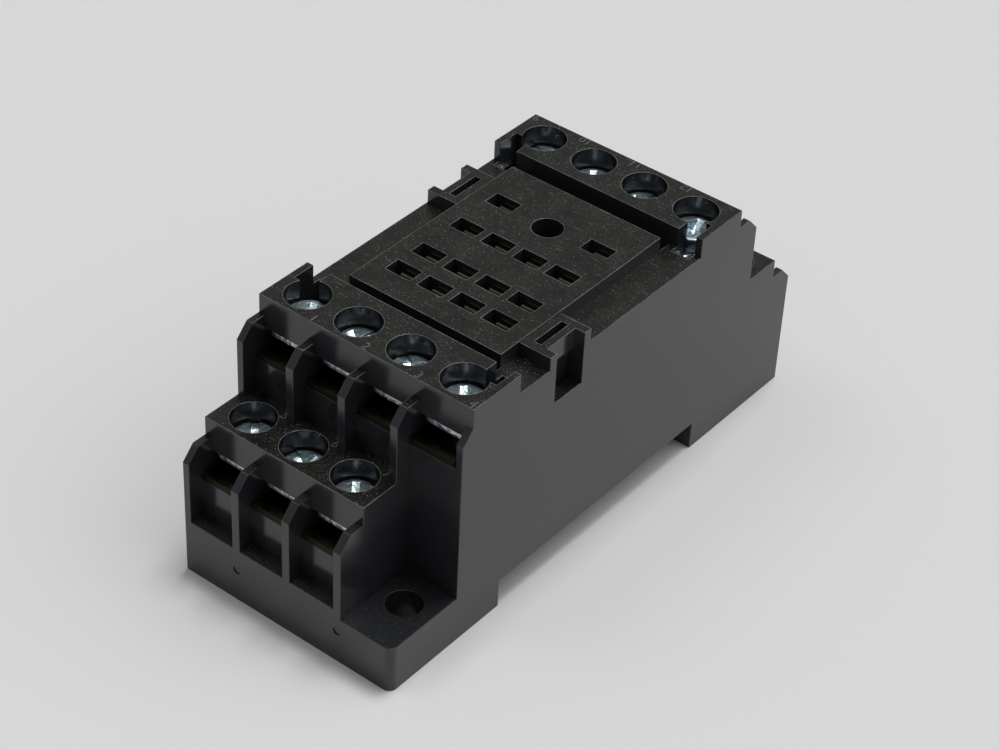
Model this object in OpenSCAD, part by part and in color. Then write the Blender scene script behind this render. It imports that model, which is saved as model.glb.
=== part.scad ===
// Front-mounting socket for a fourteen-blade miniature relay, with screw
// terminals in two tiers at each end, for a 35 mm rail or two screws.
// Frame: X across, Y along the length, Z up, origin at the middle of the
// underside. The two ends are the same shape turned half round about Z.

/* [Relay seat] */
// Width of the raised relay seat
seat_w = 21; // [20:0.1:22]
// Length of the raised relay seat
seat_l = 28.2; // [27.8:0.1:31]
// Height of the seat above the side shelves
seat_rise = 1.75; // [1:0.05:2.2]
// Width of the groove between the seat and each terminal block
groove_w = 2; // [1.2:0.1:3]
// Depth of the groove below the side shelves
groove_drop = 1.05; // [0.4:0.05:1.2]
// Length of a blade slot across the socket
slot_l = 3.5; // [3:0.05:3.6]
// Width of a blade slot along the socket
slot_w = 2.2; // [1.9:0.05:2.4]
// Spacing of the four slot columns
slot_pitch = 4.45; // [4.2:0.05:4.6]
// Row of the normally closed contacts, from the middle of the seat
row_closed = -9.5; // [-10:0.1:-9.3]
// Row of the normally open contacts
row_open = -5.25; // [-5.6:0.05:-4.8]
// Row of the common contacts
row_common = 1.3; // [0.8:0.1:2]
// Row of the two coil contacts
row_coil = 7.7; // [7:0.1:8.5]
// Diameter of the round hole between the coil slots
peg_d = 3.7; // [2.5:0.1:4]
// Distance of the round hole from the middle of the seat
peg_y = 7.2; // [6.8:0.1:8]
// Depth of the round hole
peg_depth = 8; // [4:0.5:12]

/* [Terminal tiers] */
// Height of the upper terminal blocks
top_h = 31; // [30:0.1:33]
// Drop from the upper block to the side shelves
shelf_drop = 2.45; // [2.2:0.05:2.8]
// Drop from the upper block to the lower block
tier_drop = 11.55; // [11:0.05:12]
// Step from the lower tier to the upper tier along the socket
tier_step = 8.7; // [8.4:0.1:10]
// Spacing of the terminals across the socket
term_pitch = 7.2; // [7.1:0.05:8]
// Thickness of a barrier between two terminals
barrier_t = 1; // [0.8:0.05:1.1]
// Thickness of the outer walls beside the terminals
side_t = 0.85; // [0.7:0.05:1.5]
// Reach of a barrier in front of its block
barrier_out = 3.55; // [3:0.05:3.8]
// Drop from the block top to the top edge of a barrier
barrier_drop = 2.4; // [1.6:0.1:3]
// Chamfer at the front of a barrier, along the socket
barrier_cut_y = 1.6; // [0.8:0.1:2]
// Chamfer at the front of a barrier, downwards
barrier_cut_z = 1.7; // [0.8:0.1:2.2]
// Step from the barrier front back to the wall under the terminal plate
lip = 2; // [1.5:0.1:2.5]
// Length of a tier from the barrier front to the inner face of the block
block_l = 11.2; // [11:0.1:13]
// Distance of a screw from the barrier front of its tier
screw_in = 6.9; // [6.7:0.05:7]
// Drop from the block top to the roof of the wire space
roof_drop = 4.1; // [4.05:0.05:4.3]
// Drop from the block top to the top of the terminal plate
plate_drop = 6.5; // [6.2:0.05:6.8]
// Opening cut from a corner well to the seat side, across the socket
corner_cut_w = 2.4; // [1.5:0.1:2.6]
// Distance of that opening from the axis of the screw
corner_cut_in = 1.3; // [0.8:0.1:1.8]
// Reach of that opening past the inner face of the block
corner_cut_out = 1.1; // [0.6:0.1:1.5]

/* [Screws and clamps] */
// Thread diameter of a terminal screw
screw_d = 3; // [2.5:0.1:3.2]
// Length of a terminal screw under its head
screw_l = 8; // [6:0.5:10]
// Diameter of a screw head
head_d = 4.9; // [4.5:0.05:5.2]
// Height of a screw head
head_h = 1.85; // [1.6:0.05:2.2]
// Height of the straight side of a head
head_side_h = 1.2; // [0.8:0.05:1.4]
// Width of the bevel round a head
head_bevel = 0.3; // [0.1:0.05:0.5]
// Height of the crown inside the bevel
crown_h = 0.15; // [0.05:0.05:0.2]
// Diameter of the flat on the crown
crown_d = 3; // [2:0.1:3.4]
// Depth of the cross recess in a screw head
recess_h = 1.15; // [0.6:0.05:1.3]
// Depth of the flat slot in a screw head
flat_slot_h = 0.85; // [0.4:0.05:1]
// Width of the driver slot
driver_t = 0.7; // [0.5:0.05:0.9]
// Length of the cross recess
driver_l = 2.9; // [2:0.1:3.4]
// Height of the tapered point of a screw
point_h = 0.6; // [0.3:0.1:1]
// Diameter of the end of the point
point_d = 2; // [1:0.1:2.2]
// Gap between a screw head and its well
head_gap = 0.2; // [0.1:0.05:0.3]
// Size of a clamp plate across the socket
clamp_w = 5.7; // [5:0.05:5.8]
// Size of a clamp plate along the socket
clamp_l = 6.2; // [5.6:0.05:6.4]
// Thickness of a clamp plate
clamp_t = 0.8; // [0.6:0.05:0.9]
// Gap between the roof of the wire space and the raised clamp plate
clamp_gap = 0.15; // [0.1:0.05:0.2]
// Gap between a clamp plate and the back of the wire space
clamp_back = 0.2; // [0.1:0.05:0.3]
// Clearance of a screw in its clamp plate
clamp_fit = 0.1; // [0.06:0.02:0.1]
// Gap left between a lowered clamp plate and the terminal plate
press_gap = 0.05; // [0.05:0.01:0.1]
// Gap under the point of a lowered screw
tip_gap = 0.3; // [0.2:0.1:0.6]

/* [Contacts] */
// Thickness of the brass strip
strip_t = 0.8; // [0.6:0.05:0.9]
// Width of the terminal plate that carries the tapped hole
plate_w = 5.8; // [5.6:0.05:6]
// Width of the strip from the plate to the fork
strip_w = 1.8; // [1.4:0.05:1.9]
// Wall between an outer fork and the strip that passes it
strip_wall = 0.7; // [0.5:0.05:0.8]
// Width of a fork across the socket
fork_w = 2.6; // [2.2:0.05:2.8]
// Thickness of a fork leaf
leaf_t = 0.3; // [0.25:0.05:0.4]
// Gap between the leaves at their closest
leaf_gap = 0.4; // [0.3:0.05:0.5]
// Depth of the leaf tips below the seat
leaf_drop = 1.2; // [1:0.1:3]
// Width of a leaf at its tip
leaf_tip_w = 1.8; // [1.4:0.1:2.2]
// Height of the flare at the leaf tips
flare_h = 1.1; // [0.6:0.1:1.6]
// Distance of a leaf tip from the wall of its slot
flare_in = 0.15; // [0.1:0.05:0.2]
// Height of the collar under the tapped hole
collar_h = 1; // [0.6:0.1:1.4]
// Wall of the collar under the tapped hole
collar_t = 0.6; // [0.4:0.05:0.7]
// Gap round the collar
collar_gap = 0.3; // [0.2:0.05:0.35]
// Clearance of a screw in the tapped hole
thread_fit = 0.05; // [0.02:0.01:0.1]
// Clearance round a contact in its passage
contact_gap = 0.12; // [0.08:0.02:0.15]

/* [Base] */
// Width of the rail notch
notch_l = 36; // [35.8:0.1:36.4]
// Depth of the rail notch
notch_h = 3.65; // [3.5:0.05:4]
// Height of the mounting corner floor
corner_h = 6.1; // [5.6:0.1:6.8]
// Height of the ledge in front of the lower terminals
ledge_h = 7.2; // [6.8:0.1:8]
// Spacing of the mounting holes across the socket
mount_x = 22; // [21.6:0.1:22.4]
// Spacing of the mounting holes along the socket
mount_y = 59; // [58.5:0.1:59.5]
// Diameter of a mounting hole
mount_d = 4.2; // [3.6:0.1:4.4]
// Radius of the vertical edge at a mounting corner
corner_r = 1; // [0.5:0.1:2]
// Reach of the fixed rail hook into the notch
hook_out = 1.3; // [0.8:0.1:1.6]
// Width of the fixed rail hook
hook_w = 16; // [10:0.5:20]
// Height of the hook and of the latch nose
hook_h = 2.2; // [1.8:0.1:2.3]
// Height of the blunt edge of the hook and of the latch nose
hook_edge = 0.8; // [0.4:0.1:1.2]
// Thickness of the cover that closes the underside
cover_t = 1.2; // [0.8:0.1:1.6]
// Width of the cover
cover_w = 26.4; // [25:0.1:27]
// Length of the cover
cover_l = 34.6; // [34:0.1:35]
// Clearance round the cover
cover_gap = 0.1; // [0.05:0.05:0.2]
// Width of the ledge that the cover rests on
cover_land = 1; // [0.6:0.1:1.4]
// Diameter of a stake that holds the cover
stake_d = 2; // [1.6:0.1:2.4]
// Distance of a stake from the middle of the socket
stake_y = 12; // [9:0.5:14]
// Diameter of the small round marks in an end face
mark_d = 1; // [0.6:0.1:1.4]
// Height of the marks
mark_z = 4.3; // [3:0.1:5]
// Depth of the marks
mark_in = 0.12; // [0.05:0.01:0.3]

/* [Clip pockets] */
// Length of the boss that holds a retaining clip
boss_l = 6.95; // [6.4:0.05:7.4]
// Middle of the boss from the middle of the socket
boss_y = 7.6; // [7:0.1:8]
// Drop from the seat to the boss
boss_drop = 0.1; // [0.05:0.05:0.3]
// Width of the pocket along the socket
pocket_l = 4.8; // [4:0.1:5.4]
// Depth of the open pocket from the side face
pocket_in = 1.3; // [1:0.05:1.6]
// Depth of the undercut from the side face
undercut_in = 2.1; // [1.8:0.05:2.4]
// Height of the lug above the undercut
lug_h = 2.6; // [2.2:0.1:3]
// Depth of the pocket below the seat
pocket_drop = 6.8; // [5:0.1:8]
// Distance of the relief slit from the side face
slit_in = 2.25; // [2.1:0.05:2.5]
// Length of the relief slit
slit_l = 4.65; // [3.8:0.05:4.8]
// Width of the relief slit
slit_w = 0.9; // [0.6:0.05:1]
// Depth of the relief slit
slit_drop = 1.7; // [1:0.1:1.9]

/* [Rail latch] */
// Width of the latch at the underside
latch_w = 9.6; // [8:0.1:11]
// Reach of the guide flange on each side of the latch
flange_out = 1.2; // [0.8:0.1:1.6]
// Thickness of the guide flange
flange_t = 1.2; // [0.9:0.05:1.3]
// Height of the latch underside above the rest plane
latch_lift = 0.3; // [0.2:0.05:0.6]
// Reach of the latch nose into the notch
nose_out = 1.4; // [0.9:0.1:1.6]
// Clearance between the latch and its guide
latch_gap = 0.15; // [0.1:0.05:0.2]
// Distance of the latch from the end face
latch_inset = 0.2; // [0.1:0.1:0.6]
// Width of the driver pocket in the latch
grip_w = 4; // [3:0.1:6]
// Wall of the latch round the driver pocket
grip_wall = 0.9; // [0.6:0.1:1.2]
// Floor of the latch over the driver pocket
grip_roof = 0.6; // [0.4:0.1:0.9]
// Length of the latch spring as fitted
spring_l = 8.5; // [7:0.1:9.5]
// Outside diameter of the latch spring
spring_d = 1.9; // [1.6:0.05:2]
// Wire diameter of the latch spring
wire_d = 0.3; // [0.2:0.02:0.4]
// Turns of the latch spring
spring_turns = 8; // [5:1:10]
// Gap round the spring in the latch
spring_gap = 0.25; // [0.15:0.05:0.3]
// Gap at each end of the spring
spring_end = 0.05; // [0.03:0.01:0.1]
// Distance of the spring from the inner end of the latch foot
spring_in = 4.2; // [3.5:0.1:5]
// Thickness of the stop that the spring pushes on
stop_t = 1.5; // [1:0.1:2]
// Gap between the stop and the latch
stop_gap = 0.1; // [0.05:0.05:0.2]
// Gap on each side of the stop
stop_side = 0.2; // [0.1:0.05:0.3]

/* [Hidden] */
// Overlap of joined solids, and reach of a cutter past a face
eps = 0.01;
past = 1;
$fn = 48;
PLASTIC = [0.10, 0.10, 0.11];
BRASS = [0.80, 0.65, 0.32];
ZINC = [0.78, 0.80, 0.84];
// Overall size, from the rows of terminals and the seat
body_w = 4 * term_pitch - barrier_t + 2 * side_t;
body_l = seat_l + 2 * (groove_w + block_l + tier_step);
end_y = body_l / 2;
half_w = body_w / 2;
bay_w = term_pitch - barrier_t;
low_h = top_h - tier_drop;
shelf_h = top_h - shelf_drop;
seat_h = shelf_h + seat_rise;
groove_h = shelf_h - groove_drop;
block_in_y = end_y - tier_step - block_l;
// Tier levels: each tier is [block top, barrier front distance from the end]
TIERS = [[top_h, tier_step], [low_h, 0]];
wall_drop = plate_drop + strip_t;
clamp_drop = roof_drop + clamp_gap;
well_d = head_d + 2 * head_gap;
wire_back = clamp_l / 2 + clamp_back;
clamp_travel = plate_drop - clamp_drop - clamp_t - press_gap;
collar_d = screw_d + 2 * collar_t;
tip_d = collar_d + 2 * collar_gap;
tip_drop = clamp_drop + screw_l + clamp_travel + tip_gap;
cover_h = notch_h + cover_t;
// Terminals: [end, tier, column, slot row, slot column]
ROWS = [row_closed, row_open, row_common, row_coil];
TERMINALS = [
    [0, 0, 0, 0, 0], [0, 0, 1, 0, 1], [0, 0, 2, 0, 2], [0, 0, 3, 0, 3],
    [0, 1, 0, 1, 0], [0, 1, 1, 1, 1], [0, 1, 2, 1, 2], [1, 1, 0, 1, 3],
    [1, 0, 3, 2, 0], [1, 0, 2, 2, 1], [1, 0, 1, 2, 2], [1, 0, 0, 2, 3],
    [1, 1, 2, 3, 0], [1, 1, 1, 3, 3]];
COUNT = len(TERMINALS);
function column_x(c) = (c - 1.5) * term_pitch;
function slot_x(c) = (c - 1.5) * slot_pitch;
function turn(n) = TERMINALS[n - 1][0] == 0 ? 1 : -1;
function tier(n) = TIERS[TERMINALS[n - 1][1]];
function term_x(n) = turn(n) * column_x(TERMINALS[n - 1][2]);
function term_y(n) = -turn(n) * (end_y - tier(n)[1] - screw_in);
function fork_x(n) = slot_x(TERMINALS[n - 1][4]);
function fork_y(n) = ROWS[TERMINALS[n - 1][3]];
// Strips run straight in: outside the forks, over them, or by the plate edge
strip_outer_x = slot_x(3) + fork_w / 2 + strip_wall + strip_w / 2;
strip_inner_x = (column_x(2) + slot_x(2)) / 2;
strip_coil_x = column_x(2) + (plate_w - strip_w) / 2;
function strip_side(n) =
    TERMINALS[n - 1][3] == 3 ? strip_coil_x :
    abs(term_x(n)) > term_pitch ? strip_outer_x : strip_inner_x;
function strip_x(n) = sign(term_x(n)) * strip_side(n);
plate_out = screw_in - lip;
plate_in = clamp_l / 2;

// Both ends of the socket, from the shape of the near end
module both_ends() {
    children();
    rotate([0, 0, 180]) children();
}

// A profile drawn in Y and Z, laid across the socket from x0 to x1
module across(x0, x1) {
    translate([x0, 0, 0])
        rotate([90, 0, 90])
            linear_extrude(x1 - x0) children();
}

// A box from corner to corner
module span(a, b) {
    translate(a) cube(b - a);
}

// Side profile of one barrier: front distance, block top, foot height
module barrier_profile(front, top, foot) {
    y0 = front - end_y;
    polygon([
        [y0, foot],
        [y0, top - barrier_drop - barrier_cut_z],
        [y0 + barrier_cut_y, top - barrier_drop],
        [y0 + barrier_out + past, top - barrier_drop],
        [y0 + barrier_out + past, foot]]);
}

// Block of one tier between x0 and x1, without its hollows
module tier_block(t, x0, x1, back) {
    y0 = t[1] - end_y;
    across(x0, x1)
        polygon([
            [y0 + lip, 0],
            [y0 + lip, t[0] - wall_drop],
            [y0 + barrier_out, t[0] - wall_drop],
            [y0 + barrier_out, t[0]],
            [back, t[0]],
            [back, 0]]);
}

// Barriers and outer walls of the near end
module near_barriers() {
    side_x = half_w - side_t;
    for (c = [0:3]) {
        x = column_x(c) - bay_w / 2;
        wide = c == 0 ? side_t : barrier_t;
        across(x - wide, x) barrier_profile(tier_step, top_h, low_h - eps);
        across(x - wide, x) barrier_profile(0, low_h, 0);
    }
    // The wall at the mounting corner stands back, flush with the plates
    across(side_x, half_w) barrier_profile(tier_step + lip, top_h, 0);
}

// Solid shape of the near end
module near_end() {
    ledge_y = lip - end_y;
    low_x = column_x(3) - bay_w / 2;
    tier_block(TIERS[0], -half_w, half_w, -block_in_y);
    tier_block(TIERS[1], -half_w, low_x, tier_step + lip - end_y + eps);
    span([-half_w, -end_y, 0], [low_x, ledge_y + eps, ledge_h]);
    near_barriers();
    // Floor of the mounting corner, with its vertical edge rounded
    linear_extrude(corner_h)
        difference() {
            translate([0, -end_y])
                square([half_w, tier_step + lip + eps]);
            translate([half_w - corner_r, -end_y])
                difference() {
                    translate([0, -eps]) square(corner_r + eps);
                    translate([0, corner_r]) circle(corner_r);
                }
        }
}

// Retaining clip boss on the right-hand side
module clip_boss() {
    y0 = -boss_y - boss_l / 2;
    span([seat_w / 2 - eps, y0, shelf_h - eps], [half_w, y0 + boss_l, seat_h - boss_drop]);
}

// Pocket, undercut and relief slit of the boss
module clip_pocket() {
    y0 = -boss_y - pocket_l / 2;
    y1 = y0 + pocket_l;
    z0 = seat_h - pocket_drop;
    span([half_w - pocket_in, y0, z0], [half_w + past, y1, seat_h + past]);
    span([half_w - undercut_in, y0, z0], [half_w + past, y1, seat_h - lug_h]);
    span([half_w - slit_in - slit_w, y1 - slit_l, seat_h - slit_drop],
         [half_w - slit_in, y1, seat_h + past]);
}

// Well, wire space and tip hole of one terminal
module terminal_hollow(n) {
    top = tier(n)[0];
    face = screw_in - barrier_out;
    translate([term_x(n), term_y(n), 0]) {
        translate([0, 0, top - roof_drop - eps]) cylinder(d = well_d, h = roof_drop + past);
        translate([0, 0, top - tip_drop]) cylinder(d = tip_d, h = tip_drop - roof_drop);
        rotate([0, 0, turn(n) == 1 ? 0 : 180])
            span([-bay_w / 2, -face - past, top - wall_drop],
                 [bay_w / 2, wire_back, top - roof_drop]);
    }
}

// Opening from a corner well and its wire space to the seat side
module corner_cut() {
    side_x = half_w - side_t;
    span([side_x - corner_cut_w, tier_step + screw_in + corner_cut_in - end_y, top_h - plate_drop],
         [side_x, -block_in_y + corner_cut_out, top_h + past]);
}

// Footprint of the strip of a contact and the pad under its fork
module strip_outline(n, grow) {
    s = turn(n);
    y0 = term_y(n) + s * plate_in;
    y1 = fork_y(n);
    half_pad = slot_w / 2 - contact_gap;
    left = min(fork_x(n) - fork_w / 2, strip_x(n) - strip_w / 2);
    right = max(fork_x(n) + fork_w / 2, strip_x(n) + strip_w / 2);
    translate([strip_x(n) - strip_w / 2 - grow, min(y0 - eps, y1) - grow])
        square([strip_w + 2 * grow, abs(y1 - y0) + 2 * grow + eps]);
    translate([left - grow, y1 - half_pad - grow])
        square([right - left + 2 * grow, 2 * half_pad + 2 * grow]);
}

// Passage for a contact: its slot, the way in from below, and its tunnel
module contact_passage(n) {
    top = tier(n)[0];
    strip_top = top - plate_drop;
    translate([fork_x(n) - slot_l / 2, fork_y(n) - slot_w / 2, cover_h - eps])
        cube([slot_l, slot_w, seat_h]);
    intersection() {
        translate([0, 0, cover_h - eps])
            linear_extrude(strip_top + contact_gap - cover_h)
                strip_outline(n, contact_gap);
        cube([cover_w - 2 * cover_land, cover_l - 2 * cover_land, 2 * seat_h], center = true);
    }
    translate([0, 0, strip_top - strip_t])
        linear_extrude(strip_t + contact_gap) strip_outline(n, contact_gap);
}

// Recess for the cover, with the stakes that hold it
module cover_recess() {
    w = cover_w + 2 * cover_gap;
    l = cover_l + 2 * cover_gap;
    difference() {
        translate([-w / 2, -l / 2, notch_h - eps]) cube([w, l, cover_t + eps]);
        for (s = [-1, 1])
            translate([0, s * stake_y, 0]) cylinder(d = stake_d, h = cover_h);
    }
}

// Guide of the rail latch, under the far foot
latch_half = latch_w / 2;
latch_in_y = notch_l / 2;
latch_out_y = end_y - latch_inset;
latch_top = hook_h + latch_lift;
window_in_y = latch_in_y + spring_in;
stop_in_y = window_in_y + spring_l;
stop_out_y = stop_in_y + stop_t;
window_out_y = stop_out_y + stop_gap;
window_half = spring_d / 2 + spring_gap;
module latch_guide() {
    low = latch_half + latch_gap;
    wide = low + flange_out;
    flange_z = latch_top - flange_t - latch_gap;
    difference() {
        union() {
            span([-low, latch_in_y - past, -past], [low, end_y + past, flange_z + eps]);
            span([-wide, latch_in_y - past, flange_z],
                 [wide, end_y + past, latch_top + latch_gap]);
        }
        span([-window_half + stop_side, stop_in_y, latch_lift],
             [window_half - stop_side, stop_out_y, latch_top + past]);
    }
}

// Fixed hook on the near side of the rail notch
module rail_hook() {
    across(-hook_w / 2, hook_w / 2)
        polygon([
            [-notch_l / 2 - past, 0],
            [-notch_l / 2, 0],
            [-notch_l / 2 + hook_out, hook_h - hook_edge],
            [-notch_l / 2 + hook_out, hook_h],
            [-notch_l / 2 - past, hook_h]]);
}

module housing() {
    color(PLASTIC) {
        difference() {
            union() {
                both_ends() near_end();
                span([-half_w, -block_in_y - eps, 0], [half_w, block_in_y + eps, shelf_h]);
                span([-seat_w / 2, -seat_l / 2, shelf_h - groove_drop],
                     [seat_w / 2, seat_l / 2, seat_h]);
                both_ends() clip_boss();
            }
            both_ends() {
                clip_pocket();
                corner_cut();
                mirror([1, 0, 0]) corner_cut();
                span([-seat_w / 2, -block_in_y, groove_h],
                     [seat_w / 2, -seat_l / 2, seat_h + past]);
                translate([mount_x / 2, -mount_y / 2, -past])
                    cylinder(d = mount_d, h = corner_h + 2 * past);
                for (x = [-term_pitch, term_pitch])
                    translate([x, -end_y - past, mark_z])
                        rotate([-90, 0, 0]) cylinder(d = mark_d, h = past + mark_in);
            }
            for (n = [1:COUNT]) {
                terminal_hollow(n);
                contact_passage(n);
            }
            translate([0, peg_y, seat_h - peg_depth])
                cylinder(d = peg_d, h = peg_depth + past);
            span([-half_w - past, -notch_l / 2, -past],
                 [half_w + past, notch_l / 2, notch_h]);
            cover_recess();
            latch_guide();
        }
        rail_hook();
    }
}

module base_cover() {
    color(PLASTIC)
        difference() {
            translate([-cover_w / 2, -cover_l / 2, notch_h])
                cube([cover_w, cover_l, cover_t]);
            for (s = [-1, 1])
                translate([0, s * stake_y, 0])
                    cylinder(d = stake_d + 2 * cover_gap, h = 2 * cover_h);
        }
}

module rail_latch() {
    flange_z = latch_top - flange_t;
    color(PLASTIC)
        difference() {
            union() {
                span([-latch_half, latch_in_y, latch_lift],
                     [latch_half, latch_out_y, latch_top]);
                span([-latch_half - flange_out, latch_in_y, flange_z],
                     [latch_half + flange_out, latch_out_y, latch_top]);
                across(-latch_half, latch_half)
                    polygon([
                        [latch_in_y + eps, latch_lift],
                        [latch_in_y - nose_out, latch_top - hook_edge],
                        [latch_in_y - nose_out, latch_top],
                        [latch_in_y + eps, latch_top]]);
            }
            span([-window_half, window_in_y, -past],
                 [window_half, window_out_y, latch_top + past]);
            span([-grip_w / 2, window_out_y + grip_wall, -past],
                 [grip_w / 2, latch_out_y - grip_wall, latch_top - grip_roof]);
        }
}

// Points of a ring of wire at angle a along the coil
function coil_point(a, b) =
    let (r = (spring_d - wire_d) / 2 + wire_d / 2 * cos(b))
    [r * cos(a), r * sin(a), spring_pitch * a / 360 + wire_d / 2 * sin(b)];
spring_pitch = (spring_l - wire_d - 2 * spring_end) / spring_turns;
module latch_spring() {
    steps = 14 * spring_turns;
    sides = 6;
    points = [for (i = [0:steps], j = [0:sides - 1])
        coil_point(360 * spring_turns * i / steps, 360 * j / sides)];
    faces = concat(
        [[for (j = [0:sides - 1]) j]],
        [for (i = [0:steps - 1], j = [0:sides - 1])
            let (k = (j + 1) % sides)
            [i * sides + j, (i + 1) * sides + j, (i + 1) * sides + k, i * sides + k]],
        [[for (j = [sides - 1:-1:0]) steps * sides + j]]);
    color(ZINC)
        translate([0, window_in_y + wire_d / 2 + spring_end, (latch_lift + latch_top) / 2])
            rotate([-90, 0, 0])
                polyhedron(points, faces);
}

// Terminal plate with tapped collar, strip, riser and fork, one per terminal
module contact(n) {
    s = turn(n);
    plate_top = tier(n)[0] - plate_drop;
    plate_low = plate_top - strip_t;
    fork_foot = top_h - wall_drop;
    half_pad = slot_w / 2 - contact_gap;
    color(BRASS) {
        difference() {
            union() {
                translate([term_x(n), term_y(n), 0])
                    rotate([0, 0, s == 1 ? 0 : 180])
                        span([-plate_w / 2, -plate_out, plate_low],
                             [plate_w / 2, plate_in, plate_top]);
                translate([term_x(n), term_y(n), plate_low - collar_h])
                    cylinder(d = collar_d, h = collar_h + eps);
                translate([0, 0, plate_low])
                    linear_extrude(strip_t) strip_outline(n, 0);
            }
            translate([term_x(n), term_y(n), plate_low - collar_h - past])
                cylinder(d = screw_d + 2 * thread_fit, h = collar_h + strip_t + 2 * past);
        }
        // The riser lifts a low strip to the level of the forks
        if (plate_low < fork_foot)
            span([fork_x(n) - fork_w / 2, fork_y(n) - half_pad, plate_low],
                 [fork_x(n) + fork_w / 2, fork_y(n) - half_pad + strip_t, fork_foot + eps]);
        span([fork_x(n) - fork_w / 2, fork_y(n) - half_pad, fork_foot],
             [fork_x(n) + fork_w / 2, fork_y(n) + half_pad, fork_foot + strip_t]);
        intersection() {
            translate([fork_x(n), fork_y(n), 0])
                rotate([90, 0, 0])
                    linear_extrude(slot_w, center = true) leaf_outline(fork_foot);
            for (side = [-1, 1])
                translate([0, fork_y(n), 0])
                    scale([1, side, 1])
                        across(fork_x(n) - fork_w, fork_x(n) + fork_w)
                            leaf_profile(fork_foot + strip_t - eps, half_pad);
        }
    }
}

// Outline of the leaves, seen along the socket: they narrow to their tips
module leaf_outline(foot) {
    tip = seat_h - leaf_drop;
    grip = tip - flare_h;
    polygon([
        [-fork_w / 2, foot], [fork_w / 2, foot], [fork_w / 2, grip],
        [leaf_tip_w / 2, tip], [leaf_tip_w / 2, tip + past],
        [-leaf_tip_w / 2, tip + past], [-leaf_tip_w / 2, tip], [-fork_w / 2, grip]]);
}

// One fork leaf: it leans in to grip the blade and flares at its tip
module leaf_profile(foot, out) {
    tip = seat_h - leaf_drop;
    grip = tip - flare_h;
    polygon([
        [out - leaf_t, foot],
        [leaf_gap / 2, grip],
        [out - leaf_t - flare_in, tip],
        [out - flare_in, tip],
        [leaf_gap / 2 + leaf_t, grip],
        [out, foot]]);
}

// Square clamp plate under the screw head, shown raised
module clamp_plate(n) {
    top = tier(n)[0] - clamp_drop;
    color(ZINC)
        translate([term_x(n), term_y(n), top - clamp_t])
            difference() {
                translate([-clamp_w / 2, -clamp_l / 2, 0])
                    cube([clamp_w, clamp_l, clamp_t]);
                translate([0, 0, -past])
                    cylinder(d = screw_d + 2 * clamp_fit, h = clamp_t + 2 * past);
            }
}

// Terminal screw with a head for a flat or a cross driver
module terminal_screw(n) {
    foot = tier(n)[0] - clamp_drop;
    r = head_d / 2;
    color(ZINC)
        translate([term_x(n), term_y(n), foot])
            difference() {
                union() {
                    rotate_extrude()
                        polygon([
                            [0, 0], [r, 0], [r, head_side_h],
                            [r - head_bevel, head_h - crown_h],
                            [crown_d / 2, head_h], [0, head_h]]);
                    translate([0, 0, point_h - screw_l])
                        cylinder(d = screw_d, h = screw_l - point_h + eps);
                    translate([0, 0, -screw_l])
                        cylinder(d1 = point_d, d2 = screw_d, h = point_h + eps);
                }
                translate([-r, -driver_t / 2, head_h - flat_slot_h])
                    cube([2 * r, driver_t, flat_slot_h + past]);
                for (a = [0, 90])
                    rotate([0, 0, a])
                        translate([-driver_l / 2, -driver_t / 2, head_h - recess_h])
                            cube([driver_l, driver_t, recess_h + past]);
            }
}

housing();
base_cover();
rail_latch();
latch_spring();
for (n = [1:COUNT]) {
    contact(n);
    clamp_plate(n);
    terminal_screw(n);
}
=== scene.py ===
# Relay socket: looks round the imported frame. Settings are in millimetres and degrees, the scene in metres
import math
import bmesh
import bpy
import numpy as np
from mathutils import Matrix, Vector


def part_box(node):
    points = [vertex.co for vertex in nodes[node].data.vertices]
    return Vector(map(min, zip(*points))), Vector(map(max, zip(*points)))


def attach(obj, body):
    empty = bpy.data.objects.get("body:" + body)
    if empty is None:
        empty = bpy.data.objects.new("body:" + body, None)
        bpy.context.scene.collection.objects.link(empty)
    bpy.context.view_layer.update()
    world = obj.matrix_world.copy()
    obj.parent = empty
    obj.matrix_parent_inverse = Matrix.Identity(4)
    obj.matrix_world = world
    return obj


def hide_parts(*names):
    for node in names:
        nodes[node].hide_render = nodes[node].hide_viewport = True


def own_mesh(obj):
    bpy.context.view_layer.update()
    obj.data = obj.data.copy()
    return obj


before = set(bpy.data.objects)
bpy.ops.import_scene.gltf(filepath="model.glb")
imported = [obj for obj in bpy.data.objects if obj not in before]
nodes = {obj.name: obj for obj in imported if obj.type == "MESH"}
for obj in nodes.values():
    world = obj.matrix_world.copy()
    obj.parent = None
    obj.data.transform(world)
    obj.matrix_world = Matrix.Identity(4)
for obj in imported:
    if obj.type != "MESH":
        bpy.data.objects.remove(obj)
scene = bpy.context.scene
mm = 0.001
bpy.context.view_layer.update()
terminalCount = sum(name.startswith("terminal_screw_") for name in nodes)
print("frame loaded:", len(nodes), "nodes,", terminalCount, "terminals")


# Adds one node: settings are its properties, inputs are values or sockets by name or number. A Mix node
# takes its share at 0 and its pair at 2 and 3 for numbers, 4 and 5 for vectors or 6 and 7 for colours,
# and gives the result at 0, 1 or 2
def addNode(tree, kind, inputs=None, **settings):
    node = tree.nodes.new("ShaderNode" + kind)
    for key, value in settings.items():
        setattr(node, key, value)
    for key, value in (inputs or {}).items():
        if isinstance(value, bpy.types.NodeSocket):
            tree.links.new(value, node.inputs[key])
        else:
            node.inputs[key].default_value = value
    return node


# sRGB hex to linear: below 0.04045 a straight line, above it a power of 2.4
def linear(hexColour):
    channels = [int(hexColour[i:i + 2], 16) / 255 for i in (1, 3, 5)]
    return tuple(c / 12.92 if c <= 0.04045 else ((c + 0.055) / 1.055) ** 2.4 for c in channels) + (1.0,)


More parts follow.
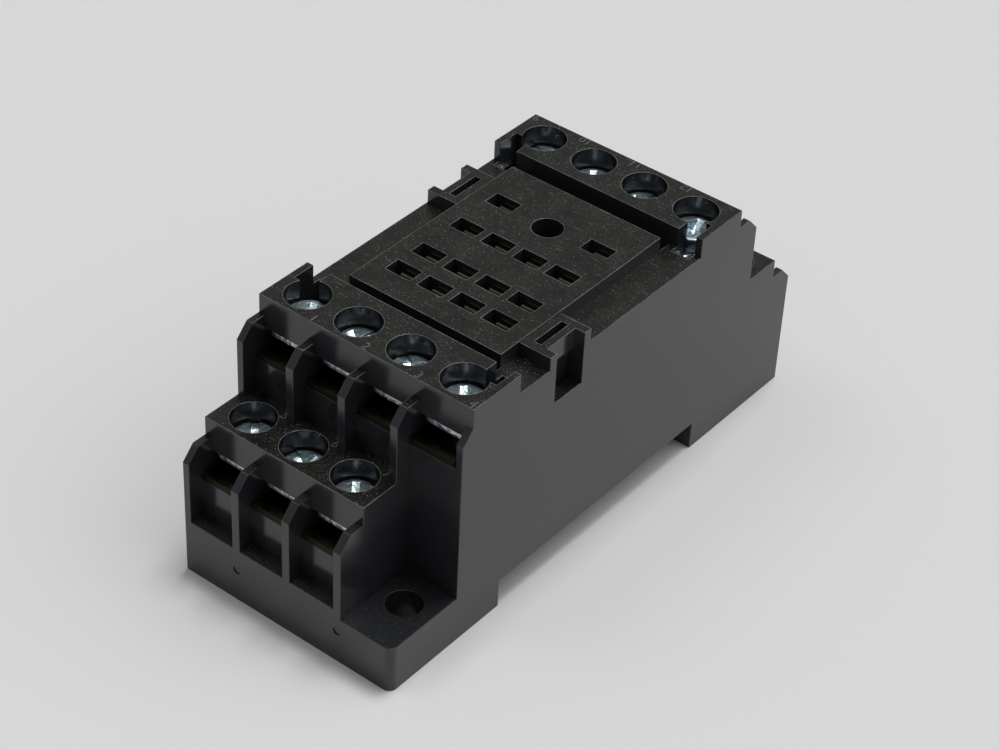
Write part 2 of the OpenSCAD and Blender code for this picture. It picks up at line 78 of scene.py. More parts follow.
# A new material with its shader, and the object's own coordinates to place patterns by
def startMaterial(name):
    material = bpy.data.materials.new(name)
    material.use_nodes = True
    tree = material.node_tree
    tree.nodes.clear()
    shader = addNode(tree, "BsdfPrincipled")
    addNode(tree, "OutputMaterial", {"Surface": shader.outputs[0]})
    place = addNode(tree, "TexCoord").outputs["Object"]
    return material, tree, shader, place


# Joins what was worked out for a surface to its shader
def dressShader(tree, shader, colour, rough, bump):
    tree.links.new(colour, shader.inputs["Base Color"])
    tree.links.new(rough, shader.inputs["Roughness"])
    tree.links.new(bump, shader.inputs["Normal"])


# A mesh from a grid of points: rows run along the piece and columns round it; each end is closed
# by a fan to the middle of its ring, or the last row joins the first where the piece is a loop
def gridPiece(name, points, loop=False, flip=False):
    rows, cols = points.shape[:2]
    index = np.arange(rows * cols).reshape(rows, cols)
    if loop:
        index = np.vstack([index, index[:1]])
    a, b = index[:-1], index[1:]
    quads = np.stack([a, np.roll(a, -1, 1), np.roll(b, -1, 1), b], -1).reshape(-1, 4)
    verts = points.reshape(-1, 3)
    faces = quads.tolist()
    if not loop:
        verts = np.vstack([verts, points[0].mean(0), points[-1].mean(0)])
        first, last = rows * cols, rows * cols + 1
        start, end = index[0], index[-1]
        faces += np.stack([np.full(cols, first), np.roll(start, -1), start], -1).tolist()
        faces += np.stack([np.full(cols, last), end, np.roll(end, -1)], -1).tolist()
    if flip:
        faces = [face[::-1] for face in faces]
    mesh = bpy.data.meshes.new(name)
    mesh.from_pydata(verts.tolist(), [], faces)
    mesh.validate()
    piece = bpy.data.objects.new(name, mesh)
    scene.collection.objects.link(piece)
    return piece


# Smooth shading, with edges kept sharp where the faces turn by more than the angle
def smoothByAngle(piece, degrees):
    piece.data.shade_smooth()
    piece.data.set_sharp_from_angle(angle=math.radians(degrees))


def setMaterial(piece, material):
    piece.data.materials.clear()
    piece.data.materials.append(material)


# Black PBT, injection moulded. The upper faces are eroded in the mould, which breaks up their shine, and
# dust stays on them as specks and hairline scratches. All other faces are polished and mirror the room,
# and the outer edges are painted lighter, partly for rubbing and partly as a painted highlight of their
# rounding catching the light
blackPlastic = {
    "wall": "#242528",
    "top": "#0b0c0a",
    "worn": "#1f201b",
    "dust": "#6e7067",
    # painted highlight: this light edge colour stands partly for rubbing and partly for rounded edges
    # catching the light
    "rubbedAndGlint": "#a8a9a1",
    "ior": 1.55,
    "wallRoughness": 0.17,
    "topRoughness": 0.23,
    "dustRoughness": 0.2,   # how much rougher a face is under full dust
    "erodedAbove": 19.0,    # the eroded faces lie above this height
    "edgeRadius": 0.16,
    "openReach": 0.35,      # inner corners are told from outer edges over this distance
    "grain": 0.24,          # spacing of the eroded texture, coarser than the real 0.05 so that it shows
    "grainHeight": 0.03,
    "mottle": 2.6,          # size of the worn patches
    "speck": 0.6,           # spacing of the dust specks
    "scratch": 0.34,        # spacing of the short scratches across their length
    "scratchShape": 0.16,   # a scratch's width over its length
    "scratchTurns": (25, -50),    # their two directions
    "wallDust": 0.06,       # how much of the dust stays on the polished faces
    "lowDust": 0.32,        # how much more lies on the low faces that point up
    "wallRubAndGlint": 0.12,        # how much the edges of polished faces get of the rubbing and painted highlight, over those of eroded ones
    # which values of a pattern begin and complete its effect, under the names of a Map Range's inputs
    "lyingRange": {"From Min": 0.8, "From Max": 0.95},      # of a face's normal, the upward part
    "edgeRange": {"From Min": 0.985, "From Max": 0.88},     # how well the true and rounded normals agree
    "outerRange": {"From Min": 0.78, "From Max": 0.95},     # how open the space outside is
    "wornRange": {"From Min": 0.36, "From Max": 0.66},      # of the mottle, as worn patches
    "fineRange": {"From Min": 0.54, "From Max": 0.74, "To Max": 0.6},      # of the grain, as bright dust
    "fineShare": {"To Min": 0.12, "To Max": 1.0},           # of that dust, outside and in the worn patches
    "speckRange": {"From Min": 0.15, "From Max": 0.05},     # distance from a speck's middle
    "scratchRange": {"From Min": 0.7, "From Max": 0.8, "To Max": 0.36},    # of stretched noise
    # of the mottle, as patches where the edges get more of the rubbing and painted highlight
    "rubAndGlintRange": {"From Min": 0.38, "From Max": 0.64, "To Min": 0.45, "To Max": 1.0},
}
# The cover's and the latch's moulds are less polished, and the latch is acetal
coverMould = {**blackPlastic, "wallRoughness": 0.32}
latchMould = {**blackPlastic, "wall": "#252527", "wallRoughness": 0.28}


# Outer edges: where the true and the rounded normal disagree and the space outside is open. Gives also
# that openness alone, which tells outer edges from inner corners
def findEdges(tree, trueNormal, roundNormal, s):
    agree = addNode(tree, "VectorMath", {0: trueNormal, 1: roundNormal}, operation="DOT_PRODUCT")
    edge = addNode(tree, "MapRange", {"Value": agree.outputs["Value"], **s["edgeRange"]}).outputs[0]
    space = addNode(tree, "AmbientOcclusion", {"Distance": s["openReach"] * mm}, samples=4, only_local=True)
    outer = addNode(tree, "MapRange", {"Value": space.outputs["AO"], **s["outerRange"]}).outputs[0]
    edge = addNode(tree, "Math", {0: edge, 1: outer}, operation="MULTIPLY").outputs[0]
    return edge, outer


# Dust: the strongest of small round specks, short scratches in two directions, and bright grains that
# are strong inside the worn patches and faint outside them
def makeDust(tree, place, grain, worn, s):
    specks = addNode(tree, "TexVoronoi", {"Vector": place, "Scale": 1 / (s["speck"] * mm), "Randomness": 1})
    marks = [addNode(tree, "MapRange", {"Value": specks.outputs["Distance"], **s["speckRange"]}).outputs[0]]
    for turn in s["scratchTurns"]:
        stretched = addNode(tree, "Mapping", {
            "Vector": place, "Rotation": (0, 0, math.radians(turn)), "Scale": (s["scratchShape"], 1, 1)})
        streaks = addNode(tree, "TexNoise", {
            "Vector": stretched.outputs[0], "Scale": 1 / (s["scratch"] * mm), "Detail": 1})
        streaks = addNode(tree, "MapRange", {"Value": streaks.outputs[0], **s["scratchRange"]})
        marks.append(streaks.outputs[0])
    fine = addNode(tree, "MapRange", {"Value": grain, **s["fineRange"]}).outputs[0]
    share = addNode(tree, "MapRange", {"Value": worn, **s["fineShare"]}).outputs[0]
    dust = addNode(tree, "Math", {0: fine, 1: share}, operation="MULTIPLY").outputs[0]
    for mark in marks:
        dust = addNode(tree, "Math", {0: mark, 1: dust}, operation="MAXIMUM").outputs[0]
    return dust


def makeBlackPlastic(name, s):
    material, tree, shader, place = startMaterial(name)
    geometry = addNode(tree, "NewGeometry")
    trueNormal = geometry.outputs["True Normal"]
    roundNormal = addNode(tree, "Bevel", {"Radius": s["edgeRadius"] * mm}, samples=6).outputs[0]
    edge, outer = findEdges(tree, trueNormal, roundNormal, s)
    # eroded faces: those whose true normal points up, above a height
    up = addNode(tree, "SeparateXYZ", {0: trueNormal}).outputs["Z"]
    level = addNode(tree, "SeparateXYZ", {0: place}).outputs["Z"]
    lying = addNode(tree, "MapRange", {"Value": up, **s["lyingRange"]}).outputs[0]
    high = addNode(tree, "Math", {0: level, 1: s["erodedAbove"] * mm}, operation="GREATER_THAN").outputs[0]
    upper = addNode(tree, "Math", {0: lying, 1: high}, operation="MULTIPLY").outputs[0]
    grain = addNode(tree, "TexNoise", {
        "Vector": place, "Scale": 1 / (s["grain"] * mm), "Detail": 3, "Roughness": 0.65}).outputs[0]
    mottle = addNode(tree, "TexNoise", {
        "Vector": place, "Scale": 1 / (s["mottle"] * mm), "Detail": 6, "Roughness": 0.72}).outputs[0]
    worn = addNode(tree, "MapRange", {"Value": mottle, **s["wornRange"]}).outputs[0]
    # all of the dust on the eroded faces, some on the low ones that point up, little on the polished ones
    kept = addNode(tree, "Math", {0: lying, 1: s["lowDust"], 2: s["wallDust"]}, operation="MULTIPLY_ADD")
    kept = addNode(tree, "Math", {0: upper, 1: 1 - s["lowDust"] - s["wallDust"], 2: kept.outputs[0]},
                   operation="MULTIPLY_ADD").outputs[0]
    dust = makeDust(tree, place, grain, worn, s)
    dust = addNode(tree, "Math", {0: dust, 1: kept}, operation="MULTIPLY").outputs[0]
    # the edges are lightened most in patches and on the eroded faces: partly rubbing, partly a painted
    # highlight of edges catching the light
    rubAndGlint = addNode(tree, "MapRange", {"Value": mottle, **s["rubAndGlintRange"]}).outputs[0]
    faint = addNode(tree, "MapRange", {"Value": upper, "To Min": s["wallRubAndGlint"], "To Max": 1.0}).outputs[0]
    rubAndGlint = addNode(tree, "Math", {0: rubAndGlint, 1: faint}, operation="MULTIPLY").outputs[0]
    rubbedAndGlint = addNode(tree, "Math", {0: edge, 1: rubAndGlint}, operation="MULTIPLY").outputs[0]
    # the colours in layers: walls, eroded faces, dust, and edges lightened by rubbing and a painted
    # highlight
    topColour = addNode(tree, "Mix", {0: worn, 6: linear(s["top"]), 7: linear(s["worn"])},
                        data_type="RGBA").outputs[2]
    colour = linear(s["wall"])
    for share, layer in ((upper, topColour), (dust, linear(s["dust"])), (rubbedAndGlint, linear(s["rubbedAndGlint"]))):
        colour = addNode(tree, "Mix", {0: share, 6: colour, 7: layer}, data_type="RGBA").outputs[2]
    rough = addNode(tree, "MapRange", {
        "Value": upper, "To Min": s["wallRoughness"], "To Max": s["topRoughness"]}).outputs[0]
    rough = addNode(tree, "Math", {0: dust, 1: s["dustRoughness"], 2: rough},
                    operation="MULTIPLY_ADD").outputs[0]
    # only outer edges are rounded, inner corners stay sharp
    rounded = addNode(tree, "Mix", {0: outer, 4: geometry.outputs["Normal"], 5: roundNormal},
                      data_type="VECTOR").outputs[1]
    height = addNode(tree, "Math", {0: grain, 1: upper}, operation="MULTIPLY").outputs[0]
    bump = addNode(tree, "Bump", {
        "Height": height, "Distance": s["grainHeight"] * mm, "Strength": 1.0, "Normal": rounded}).outputs[0]
    dressShader(tree, shader, colour, rough, bump)
    shader.inputs["IOR"].default_value = s["ior"]
    return material


# Steel with bright zinc plate and a clear blue passivation: pale and slightly cloudy, faintly rippled
zincPlate = {
    "colour": "#dceaee",
    "cloud": "#8ba3b0",
    "roughness": 0.29,
    "cloudRoughness": 0.12,    # how much rougher the clouded places are
    "cloudSize": 0.4,
    "cloudRange": {"From Min": 0.3, "From Max": 0.7},    # from clouded to clear
    "rippleSize": 0.4,
    "rippleHeight": 0.08,
    "edgeRadius": 0.05,
}
# The clamps are pressed from strip before they are plated, and look whiter and more rippled
clampPlate = {
    **zincPlate,
    "colour": "#e4e8ef",
    "cloud": "#a8aebb",
    "roughness": 0.26,
    "cloudSize": 0.5,
    "rippleSize": 0.6,
    "rippleHeight": 0.2,
}
# The spring is drawn steel wire without plate: a darker, plain grey
springWire = {
    **zincPlate,
    "colour": "#9a9a98",
    "cloud": "#6f6f6e",
    "roughness": 0.28,
}


def makeSteel(name, s):
    material, tree, shader, place = startMaterial(name)
    cloud = addNode(tree, "TexNoise", {
        "Vector": place, "Scale": 1 / (s["cloudSize"] * mm), "Detail": 4}).outputs[0]
    ripple = addNode(tree, "TexNoise", {
        "Vector": place, "Scale": 1 / (s["rippleSize"] * mm), "Detail": 2}).outputs[0]
    colour = addNode(tree, "Mix", {0: cloud, 6: linear(s["cloud"]), 7: linear(s["colour"])},
                     data_type="RGBA").outputs[2]
    rough = addNode(tree, "MapRange", {
        "Value": cloud, **s["cloudRange"],
        "To Min": s["roughness"] + s["cloudRoughness"], "To Max": s["roughness"]}).outputs[0]
    rounded = addNode(tree, "Bevel", {"Radius": s["edgeRadius"] * mm}, samples=4).outputs[0]
    bump = addNode(tree, "Bump", {
        "Height": ripple, "Distance": s["rippleHeight"] * mm, "Strength": 1.0, "Normal": rounded}).outputs[0]
    dressShader(tree, shader, colour, rough, bump)
    shader.inputs["Metallic"].default_value = 1.0
    return material


# Rolled brass, stamped: the broad faces have the satin of rolling, dulled to olive partly by handling and
# partly as painted shade of the dark bays they lie in, the sheared edges are dark and rough, and the forks
# are painted pale as a painted highlight of the light falling into the slots
rolledBrass = {
    # painted shade: both olive tones of the broad faces are kept dark partly for dulling and partly for the
    # shade of the bays
    "plate": "#5a543f",
    "dull": "#3b372a",
    "sheared": "#2b281f",
    # painted highlight: the forks' pale colour stands for the glint of light falling into the slots
    "forkHighlight": "#958d70",
    "plateRoughness": 0.32,
    "shearedRoughness": 0.5,
    "forkRoughness": 0.38,
    "patch": 1.1,              # size of the dulled patches
    "patchRange": {"From Min": 0.35, "From Max": 0.65},    # from dulled to clean
    "patchSmoother": 0.06,     # how much smoother the metal is between them
    "broadFrom": 0.9,          # the broad faces point up or down by at least this part of their normal
    "forkReach": 12.5,         # the forks stand in the slots of the seat, within this far of the middle
    "rolling": 0.11,           # spacing of the rolling lines
    "rollingShape": 0.06,      # a rolling line's width over its length
    "rollingHeight": 0.001,
    "edgeRadius": 0.06,
}


def makeBrass(name, s):
    material, tree, shader, place = startMaterial(name)
    patch = addNode(tree, "TexNoise", {
        "Vector": place, "Scale": 1 / (s["patch"] * mm), "Detail": 6, "Roughness": 0.65}).outputs[0]
    clean = addNode(tree, "MapRange", {"Value": patch, **s["patchRange"]}).outputs[0]
    # the broad faces lie flat, and the forks are the parts near the middle of the socket's length
    normal = addNode(tree, "NewGeometry").outputs["True Normal"]
    up = addNode(tree, "SeparateXYZ", {0: normal}).outputs["Z"]
    up = addNode(tree, "Math", {0: up}, operation="ABSOLUTE").outputs[0]
    broad = addNode(tree, "Math", {0: up, 1: s["broadFrom"]}, operation="GREATER_THAN").outputs[0]
    along = addNode(tree, "SeparateXYZ", {0: place}).outputs["Y"]
    along = addNode(tree, "Math", {0: along}, operation="ABSOLUTE").outputs[0]
    fork = addNode(tree, "Math", {0: along, 1: s["forkReach"] * mm}, operation="LESS_THAN").outputs[0]
    # the colours in layers: sheared edges, broad faces with their partly painted shade, forks painted pale
    # as a painted highlight
    plateColour = addNode(tree, "Mix", {0: clean, 6: linear(s["dull"]), 7: linear(s["plate"])},
                          data_type="RGBA").outputs[2]
    colour = linear(s["sheared"])
    for share, layer in ((broad, plateColour), (fork, linear(s["forkHighlight"]))):
        colour = addNode(tree, "Mix", {0: share, 6: colour, 7: layer}, data_type="RGBA").outputs[2]
    rough = addNode(tree, "MapRange", {
        "Value": broad, "To Min": s["shearedRoughness"], "To Max": s["plateRoughness"]}).outputs[0]
    rough = addNode(tree, "Mix", {0: fork, 2: rough, 3: s["forkRoughness"]}).outputs[0]
    rough = addNode(tree, "Math", {0: clean, 1: -s["patchSmoother"], 2: rough},
                    operation="MULTIPLY_ADD").outputs[0]
    drawn = addNode(tree, "Mapping", {"Vector": place, "Scale": (s["rollingShape"], 1, 1)}).outputs[0]
    line = addNode(tree, "TexNoise", {
        "Vector": drawn, "Scale": 1 / (s["rolling"] * mm), "Detail": 2}).outputs[0]
    rounded = addNode(tree, "Bevel", {"Radius": s["edgeRadius"] * mm}, samples=4).outputs[0]
    bump = addNode(tree, "Bump", {
        "Height": line, "Distance": s["rollingHeight"] * mm, "Strength": 1.0, "Normal": rounded}).outputs[0]
    dressShader(tree, shader, colour, rough, bump)
    shader.inputs["Metallic"].default_value = 1.0
    return material


housingPlastic = makeBlackPlastic("blackPbtMoulded", blackPlastic)
coverPlastic = makeBlackPlastic("blackPbtCover", coverMould)
latchPlastic = makeBlackPlastic("blackAcetalLatch", latchMould)
screwZinc = makeSteel("brightZincScrew", zincPlate)
clampZinc = makeSteel("brightZincClamp", clampPlate)
springSteel = makeSteel("drawnSpringSteel", springWire)
brass = makeBrass("rolledBrassContact", rolledBrass)
print("materials made:", len(bpy.data.materials))

setMaterial(nodes["housing"], housingPlastic)
setMaterial(nodes["base_cover"], coverPlastic)
setMaterial(nodes["rail_latch"], latchPlastic)
for name, node in nodes.items():
    if name.startswith("contact_"):
        setMaterial(node, brass)
print("housing, cover, latch and contacts dressed")

# Terminal screw: a low crowned head with a flat slot and a cross that rises to the ends of its arms, on a
# rolled thread
screw = {
    "head": 4.9, "headHeight": 1.85, "crown": 0.05, "rim": 0.22,
    "armHalf": 0.4, "armLength": 1.75, "crossDepth": 1.1, "slotDepth": 0.35,
    "crossRise": 0.92,    # how much of the cross's depth is gone at the ends of its arms
    "wall": 0.12,         # how far the recess's walls lean out
    "thread": 3.0, "root": 2.45, "pitch": 0.5, "neck": 0.7, "length": 8.0, "point": 0.8,
    "tip": 0.7,           # width of the point's end over that of the root
    # how far each recess is turned from the X axis, as the driver left it
    "turns": (20, 75, -30, 40, -50, -15, 37, 50, -20, 33, 81, 8, -55, 28),
    "smoothTo": 38,
    # radii of the rings over the cross's middle, along its arms and on the land past their ends
    "core": 0.58, "coreWall": 0.05, "coreRings": (0.1, 0.22, 0.34),
    "armRings": (0.8, 1.05, 1.3), "landRings": (1.95, 2.05),
    "rimRows": 6, "rimFrom": 0.15,    # the first row's share of the rim's quarter turn
    "side": ((0, 0.9), (0, 0.3), (-0.03, 0.08), (-0.1, 0)),    # out from the edge of the head, and height
    "underRing": 2.0, "neckWall": 0.1, "neckStep": 0.12, "rowsPerTurn": 8,
    "armColumns": 5, "metalColumns": 4,
    "armSine": 0.66, "leastMetal": 0.02,    # near the middle: the arm's half angle, the metal in radians
}


# Angles round one ring: each quarter turn has columns across an arm of the recess, from -a to a with
# a = arcsin (armHalf / r), so that its walls stay straight, and columns across the metal to the next arm
def ringAngles(radius, s):
    arm = np.arcsin(np.minimum(s["armHalf"] / radius, s["armSine"]))[:, None]
    lean = s["wall"] / np.maximum(radius, s["armHalf"])[:, None]
    gap = np.minimum(arm + lean, math.pi / 4 - s["leastMetal"])
    acrossArm = arm * np.linspace(-1, 1, s["armColumns"])
    acrossMetal = gap + (math.pi / 2 - 2 * gap) * np.linspace(0, 1, s["metalColumns"])
    quarter = np.hstack([acrossArm, acrossMetal])
    return np.hstack([quarter + k * math.pi / 2 for k in range(4)])


# Rows of the head from the middle of its top over the rim, down the side and in to the thread:
# x = r cos a, y = r sin a, z = height - crown (r / half)^2, less the recess on top, whose depth is
# crossDepth (1 - crossRise r / armLength) in the arms and slotDepth or more in the pair along X
def headPoints(s):
    half, high = s["head"] / 2, s["headHeight"]
    flat = half - s["rim"]
    core, arm = s["core"], s["armLength"]
    radius = np.array([
        *s["coreRings"], core - s["coreWall"], core, core + s["coreWall"],
        *s["armRings"], arm, arm + s["wall"], *s["landRings"], flat])
    bend = np.linspace(s["rimFrom"], 1, s["rimRows"]) * math.pi / 2
    radius = np.hstack([radius, flat + s["rim"] * np.sin(bend)])
    top = high - s["crown"] * (radius / half) ** 2
    top[-s["rimRows"]:] -= s["rim"] * (1 - np.cos(bend))
    neck = s["thread"] / 2
    under = [(s["underRing"], 0), (neck + s["neckWall"], 0), (neck - s["neckWall"], -s["neckStep"])]
    side = np.array([(half + out, level) for out, level in s["side"]] + under)
    radius, level = np.hstack([radius, side[:, 0]]), np.hstack([top, side[:, 1]])
    angle = ringAngles(radius, s)
    columns = np.arange(angle.shape[1])
    perQuarter = s["armColumns"] + s["metalColumns"]
    inArm, alongX = columns % perQuarter < s["armColumns"], columns // perQuarter % 2 == 0
    near = 0.01    # a ring this close past an edge still counts as inside it
    cross = s["crossDepth"] * (1 - s["crossRise"] * radius / arm)
    cross = np.where(radius < arm + near, cross, 0)[:, None]
    depth = np.where(inArm | (radius[:, None] < core + near), cross, 0)
    depth = np.where(inArm & alongX, np.maximum(depth, s["slotDepth"]), depth)
    z = np.where(depth > 0, np.minimum(level[:, None], high - depth), level[:, None])
    return np.stack([radius[:, None] * np.cos(angle), radius[:, None] * np.sin(angle), z], -1), angle[-1, 0]


# Rows of the thread from the neck to the point: r = root + depth times a triangle wave of
# (z / pitch + a / turn), both smaller toward the point; the columns go on from those of the head
def threadPoints(s, columns, startAngle):
    level = -np.arange(s["neck"], s["length"], s["pitch"] / s["rowsPerTurn"])[:, None]
    angle = np.linspace(0, 2 * math.pi, columns, endpoint=False)[None] + startAngle
    wave = np.abs(((level / s["pitch"] + angle / (2 * math.pi)) % 1) * 2 - 1)
    fade = np.clip((s["length"] + level) / s["point"], 0, 1)
    root = s["root"] / 2 * (s["tip"] + (1 - s["tip"]) * fade)
    r = root + (s["thread"] - s["root"]) / 2 * wave * fade
    return np.stack([r * np.cos(angle), r * np.sin(angle), np.broadcast_to(level, r.shape)], -1)


def screwPoints(s):
    head, startAngle = headPoints(s)
    return np.vstack([head, threadPoints(s, head.shape[1], startAngle)])


def makeScrew(s, grid, n):
    low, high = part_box(f"terminal_screw_{n}")
    centre = Vector(((low.x + high.x) / 2, (low.y + high.y) / 2, high.z - s["headHeight"] * mm))
    turn = Matrix.Rotation(math.radians(s["turns"][(n - 1) % len(s["turns"])]), 4, "Z")
    piece = gridPiece(f"screw_{n}", grid * mm, flip=True)
    piece.data.transform(Matrix.Translation(centre) @ turn)
    smoothByAngle(piece, s["smoothTo"])
    setMaterial(piece, screwZinc)
    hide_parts(f"terminal_screw_{n}")
    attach(piece, f"screw_{n}")


# Clamp plate: a pressed square plate with a punched hole and rounded edges, toothed underneath
clamp = {
    "width": 5.7, "length": 6.2, "thick": 0.8, "hole": 3.24,
    "corner": 9,       # power of the outline: higher is squarer
    "arch": 0.1,       # how far the top falls toward the two ends
    "tooth": 0.9, "toothDepth": 0.12,
    "smoothTo": 45, "columns": 96,
    # the section from the hole over the top and round the edge to the underside: share of the way from
    # the hole to the edge, and height over thickness from the middle
    "overTop": (
        (0, -0.35), (0, 0.35), (0.05, 0.5), (0.3, 0.5), (0.6, 0.5), (0.86, 0.5),
        (0.95, 0.48), (0.985, 0.4), (1, 0.27), (1, -0.4), (0.985, -0.47), (0.95, -0.5),
    ),
    "underneath": (0.8, 0.05, 6),    # back below: first and last share, and the number of rows
}


# Each column is that closed section at an angle a; the outer line is the superellipse
# |x|^n + |y|^n = 1, the top falls off with y squared, and the teeth on the flat underside are a
# triangle wave of y
def clampPoints(s):
    angle = np.linspace(0, 2 * math.pi, s["columns"], endpoint=False)
    c, d = np.cos(angle), np.sin(angle)
    reach = (np.abs(c) ** s["corner"] + np.abs(d) ** s["corner"]) ** (-1 / s["corner"])
    outer = np.stack([s["width"] / 2 * c * reach, s["length"] / 2 * d * reach], -1)
    inner = s["hole"] / 2 * np.stack([c, d], -1)
    section = np.array([*s["overTop"], *[(share, -0.5) for share in np.linspace(*s["underneath"])]])
    share, level = section[:, 0][:, None, None], section[:, 1][:, None]
    flat = inner[None] * (1 - share) + outer[None] * share
    y = flat[..., 1]
    tooth = s["toothDepth"] * np.abs(((y / s["tooth"]) % 1) * 2 - 1) * (level == -0.5)
    arch = s["arch"] * (y / s["length"] * 2) ** 2 * (level > 0)
    z = s["thick"] * (0.5 + level) - arch + tooth
    return np.concatenate([flat, z[..., None]], -1)


def makeClamp(s, grid, n):
    low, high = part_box(f"clamp_plate_{n}")
    piece = gridPiece(f"clamp_{n}", grid * mm, loop=True)
    piece.data.transform(Matrix.Translation(((low.x + high.x) / 2, (low.y + high.y) / 2, low.z)))
    smoothByAngle(piece, s["smoothTo"])
    setMaterial(piece, clampZinc)
    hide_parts(f"clamp_plate_{n}")
    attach(piece, f"clamp_{n}")


screwGrid = screwPoints(screw)
clampGrid = clampPoints(clamp)
for n in range(1, terminalCount + 1):
    makeScrew(screw, screwGrid, n)
    makeClamp(clamp, clampGrid, n)
print("screws and clamp plates made:", terminalCount, "of each")

# Latch spring: a coil with a close turn at each end, pushing the latch against the rail
spring = {
    "turns": 8, "closed": 1.0, "wire": 0.3, "outside": 1.9,
    "rowsPerTurn": 40, "columns": 12, "smoothTo": 60,
}


# A circle of the wire carried along a helix: at turn t its middle is at radius ring and angle t, and
# its travel grows fast in the middle turns and by one wire a turn over the closed ends
def makeSpring(s):
    low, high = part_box("latch_spring")
    t = np.linspace(0, s["turns"], s["turns"] * s["rowsPerTurn"] + 1)[:, None]
    a = 2 * math.pi * np.linspace(0, 1, s["columns"], endpoint=False)[None]
    wire, ring = s["wire"] / 2, (s["outside"] - s["wire"]) / 2
    length = (high.y - low.y) / mm - s["wire"]
    closed, closedRise = s["closed"], s["closed"] * s["wire"]
    rise = np.interp(
        t, [0, closed, s["turns"] - closed, s["turns"]], [0, closedRise, length - closedRise, length])
    r = ring + wire * np.cos(a)
    x, z = r * np.cos(2 * math.pi * t), r * np.sin(2 * math.pi * t)
    points = np.stack([x, rise + wire + wire * np.sin(a), z], -1)
    piece = gridPiece("returnSpring", points * mm)
    piece.data.transform(Matrix.Translation(((low.x + high.x) / 2, low.y, (low.z + high.z) / 2)))
    smoothByAngle(piece, s["smoothTo"])
    setMaterial(piece, springSteel)
    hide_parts("latch_spring")
    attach(piece, "housing")
    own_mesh(piece)


makeSpring(spring)
print("spring made")

# Terminal numbers: small raised digits beside each well, outward of it on the upper blocks and inward on
# the lower ones, turned with their end of the socket
numeral = {
    "height": 1.15, "raised": 0.04, "sunk": 0.02,
    "across": 3.3, "outward": 2.75, "lowAcross": 2.35, "lowInward": 2.4,
    "digitShare": 0.7,    # height of a digit over the font's size
    "curveSteps": 3,
}


# The mesh of one number, centred on the XY plane
def numberMesh(s, n):
    curve = bpy.data.curves.new(f"numeral_{n}", "FONT")
    curve.body = str(n)
    curve.size = s["height"] / s["digitShare"] * mm
    curve.align_x, curve.align_y = "CENTER", "CENTER"
    curve.extrude = (s["raised"] + s["sunk"]) / 2 * mm
    curve.resolution_u = s["curveSteps"]
    holder = bpy.data.objects.new(f"numeral_{n}", curve)
    scene.collection.objects.link(holder)
    mesh = bpy.data.meshes.new_from_object(holder.evaluated_get(bpy.context.evaluated_depsgraph_get()))
    bpy.data.objects.remove(holder)
    return mesh


def makeNumerals(s):
    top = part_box("housing")[1].z
    # the lower screws' heads stand as far below their block's top as the upper ones do
    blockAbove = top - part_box("terminal_screw_1")[1].z
    build = bmesh.new()
    for n in range(1, terminalCount + 1):
        low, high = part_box(f"terminal_screw_{n}")
        upper = top - high.z < screw["length"] * mm
        block = top if upper else high.z + blockAbove
        end = 1 if low.y < 0 else -1
        dx, dy = (s["across"], -s["outward"]) if upper else (s["lowAcross"], s["lowInward"])
        place = Vector((
            (low.x + high.x) / 2 + end * dx * mm,
            (low.y + high.y) / 2 + end * dy * mm,
            block + (s["raised"] - s["sunk"]) / 2 * mm))
        mesh = numberMesh(s, n)
        mesh.transform(Matrix.Translation(place) @ Matrix.Rotation(0 if end == 1 else math.pi, 4, "Z"))
        build.from_mesh(mesh)
    joined = bpy.data.meshes.new("terminalNumbers")
    build.to_mesh(joined)
    build.free()
    piece = bpy.data.objects.new("terminalNumbers", joined)
    scene.collection.objects.link(piece)
    setMaterial(piece, housingPlastic)
    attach(piece, "housing")


makeNumerals(numeral)
print("terminal numbers made")

studio = {
    "floor": "#dededf",
    "floorHalf": 2500,
    "floorRoughness": 0.5,
    "floorSpecular": 0.15,
    "world": 0.25,
    # each lamp: strength, width of its disc, lean from straight up toward X and toward Y
    "lamps": {
        "ceilingLamp": (1.3, 20, 2, 14),
        "skylight": (0.94, 60, 30, 24),
        "frontCard": (0.2, 24, -28, -20),
    },
}


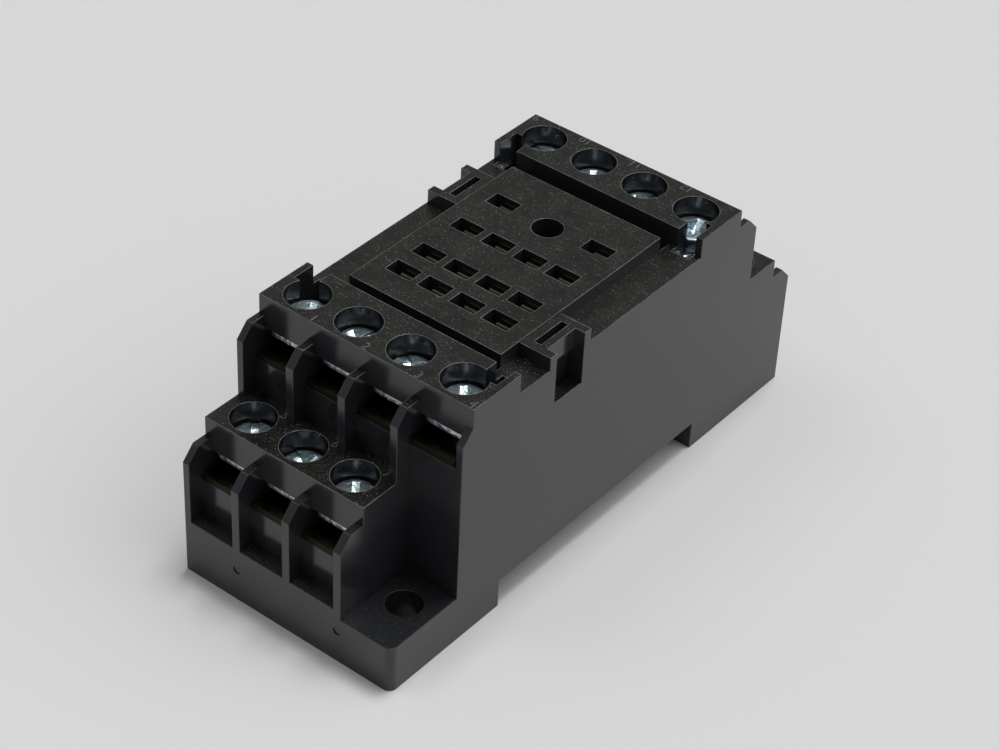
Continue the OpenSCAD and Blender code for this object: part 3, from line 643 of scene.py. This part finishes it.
# A pale matt board, which throws light back onto the lower faces
def makeFloor(s):
    half = s["floorHalf"] * mm
    corners = [(-half, -half, 0), (half, -half, 0), (half, half, 0), (-half, half, 0)]
    mesh = bpy.data.meshes.new("floor")
    mesh.from_pydata(corners, [], [(0, 1, 2, 3)])
    floor = bpy.data.objects.new("floor", mesh)
    scene.collection.objects.link(floor)
    material, _, shader, _ = startMaterial("paleBoard")
    shader.inputs["Base Color"].default_value = linear(s["floor"])
    shader.inputs["Roughness"].default_value = s["floorRoughness"]
    shader.inputs["Specular IOR Level"].default_value = s["floorSpecular"]
    setMaterial(floor, material)


# Soft light from the whole room and three wide lamps, each aimed by the tangents of its leans
def makeLight(s):
    world = bpy.data.worlds.new("softRoom")
    scene.world = world
    world.use_nodes = True
    background = world.node_tree.nodes["Background"]
    background.inputs["Color"].default_value = (1, 1, 1, 1)
    background.inputs["Strength"].default_value = s["world"]
    for name, (strength, width, leanX, leanY) in s["lamps"].items():
        lamp = bpy.data.lights.new(name, "SUN")
        lamp.energy = strength
        lamp.angle = math.radians(width)
        holder = bpy.data.objects.new(name, lamp)
        toward = Vector((math.tan(math.radians(leanX)), math.tan(math.radians(leanY)), 1))
        holder.rotation_euler = toward.to_track_quat("Z", "Y").to_euler()
        scene.collection.objects.link(holder)


# The camera looks from the front right corner, down at the middle of the socket, slightly rolled
view = {
    "azimuth": 36.993, "elevation": 38.225, "roll": 2.976,
    "distance": 297.7, "target": (0.44, -0.74, 14.42),
    "lens": 95.11, "sensor": 36, "nearest": 10, "farthest": 20000,
}


def makeCamera(s):
    camera = bpy.data.cameras.new("camera")
    camera.lens = s["lens"]
    camera.sensor_width = s["sensor"]
    camera.clip_start, camera.clip_end = s["nearest"] * mm, s["farthest"] * mm
    holder = bpy.data.objects.new("camera", camera)
    a, e = math.radians(s["azimuth"]), math.radians(s["elevation"])
    back = Vector((math.sin(a) * math.cos(e), -math.cos(a) * math.cos(e), math.sin(e)))
    roll = Matrix.Rotation(math.radians(s["roll"]), 4, "Z")
    turn = (-back).to_track_quat("-Z", "Y").to_matrix().to_4x4() @ roll
    holder.matrix_world = Matrix.Translation(Vector(s["target"]) * mm + back * s["distance"] * mm) @ turn
    scene.collection.objects.link(holder)
    scene.camera = holder


makeFloor(studio)
makeLight(studio)
makeCamera(view)
scene.view_settings.view_transform = "Standard"
